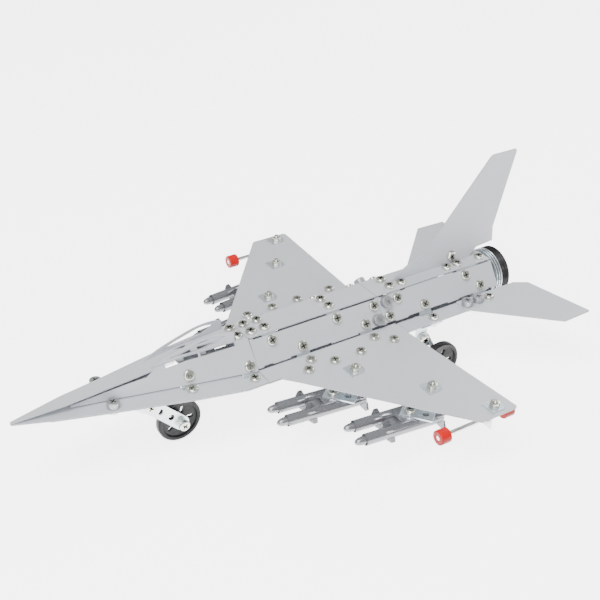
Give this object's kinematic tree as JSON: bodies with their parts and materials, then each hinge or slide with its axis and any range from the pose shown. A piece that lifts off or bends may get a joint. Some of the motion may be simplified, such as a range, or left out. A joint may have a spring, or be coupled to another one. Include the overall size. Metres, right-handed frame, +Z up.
{
  "type": "toy airplane",
  "caption": "Jet fighter model of folded sheet panels screwed to small zinc angles, with under-wing stores, wingtip rods and a three-wheel landing gear that rolls.",
  "frame": {"origin": "on the ground under the middle of the overall box, which is on the centreline", "axes": "+Y towards the tail, +X to the port side, +Z up; the nose points along -Y"},
  "size_m": [0.272, 0.3866, 0.1425],
  "materials": {
    "grey_sheet": "satin light grey paint",
    "zinc_bracket": "bright zinc plate",
    "screw_zinc": "bright plated, slightly yellow",
    "bright_steel": "plated steel",
    "missile_plastic": "silver-grey moulded plastic",
    "black_plastic": "black moulded plastic",
    "red_plastic": "red soft plastic"
  },
  "bodies": {
    "root": {"airframe_nuts": "bright_steel", "belly_tray_front": "grey_sheet", "belly_tray_rear": "grey_sheet", "canopy_frame_port": "grey_sheet", "canopy_frame_starboard": "grey_sheet", "deck_angle_brackets": "zinc_bracket", "deck_bolts": "screw_zinc", "deck_front": "grey_sheet", "deck_joining_plate": "zinc_bracket", "deck_rear": "grey_sheet", "exhaust_discs": "zinc_bracket", "exhaust_screw": "screw_zinc", "exhaust_wheel_inner": "black_plastic", "exhaust_wheel_outer": "black_plastic", "fin_bracket": "zinc_bracket", "gear_bolts": "screw_zinc", "gear_nuts": "bright_steel", "main_axle_port": "screw_zinc", "main_axle_starboard": "screw_zinc", "main_gear_brackets": "zinc_bracket", "main_gear_strut_port": "zinc_bracket", "main_gear_strut_starboard": "zinc_bracket", "missile_pair_inner_port": "missile_plastic", "missile_pair_inner_starboard": "missile_plastic", "missile_pair_outer_port": "missile_plastic", "missile_pair_outer_starboard": "missile_plastic", "nose_angle_brackets": "zinc_bracket", "nose_axle": "screw_zinc", "nose_bolts": "screw_zinc", "nose_floor_plate": "grey_sheet", "nose_gear_channel": "zinc_bracket", "nose_gear_strap": "zinc_bracket", "nose_keel_plate": "grey_sheet", "nose_shell": "grey_sheet", "pylon_brackets": "zinc_bracket", "side_bolts": "screw_zinc", "side_joining_plates": "zinc_bracket", "side_panel_front_port": "grey_sheet", "side_panel_front_starboard": "grey_sheet", "side_panel_rear_port": "grey_sheet", "side_panel_rear_starboard": "grey_sheet", "stabilator_port": "grey_sheet", "stabilator_starboard": "grey_sheet", "store_bolts": "screw_zinc", "store_nuts": "bright_steel", "stud_bolts": "screw_zinc", "tail_bulkhead": "zinc_bracket", "tail_fin": "grey_sheet", "tip_caps": "red_plastic", "tip_rod_brackets": "zinc_bracket", "tip_rods": "bright_steel", "wing_angle_brackets": "zinc_bracket", "wing_bolts": "screw_zinc", "wing_fixing_plates": "zinc_bracket", "wing_port": "grey_sheet", "wing_starboard": "grey_sheet"},
    "nose_wheel": {"nose_wheel": "black_plastic"},
    "main_wheel_port": {"main_wheel_port": "black_plastic"},
    "main_wheel_starboard": {"main_wheel_starboard": "black_plastic"}
  },
  "joints": [
    {"name": "nose_wheel_spin", "type": "hinge", "parent": "root", "child": "nose_wheel", "pos_m": [0, -0.0869, 0.0152], "axis": [1, 0, 0], "continuous": true},
    {"name": "main_wheel_port_spin", "type": "hinge", "parent": "root", "child": "main_wheel_port", "pos_m": [0.0373, 0.0974, 0.0152], "axis": [1, 0, 0], "continuous": true},
    {"name": "main_wheel_starboard_spin", "type": "hinge", "parent": "root", "child": "main_wheel_starboard", "pos_m": [-0.0373, 0.0974, 0.0152], "axis": [1, 0, 0], "continuous": true}
  ]
}
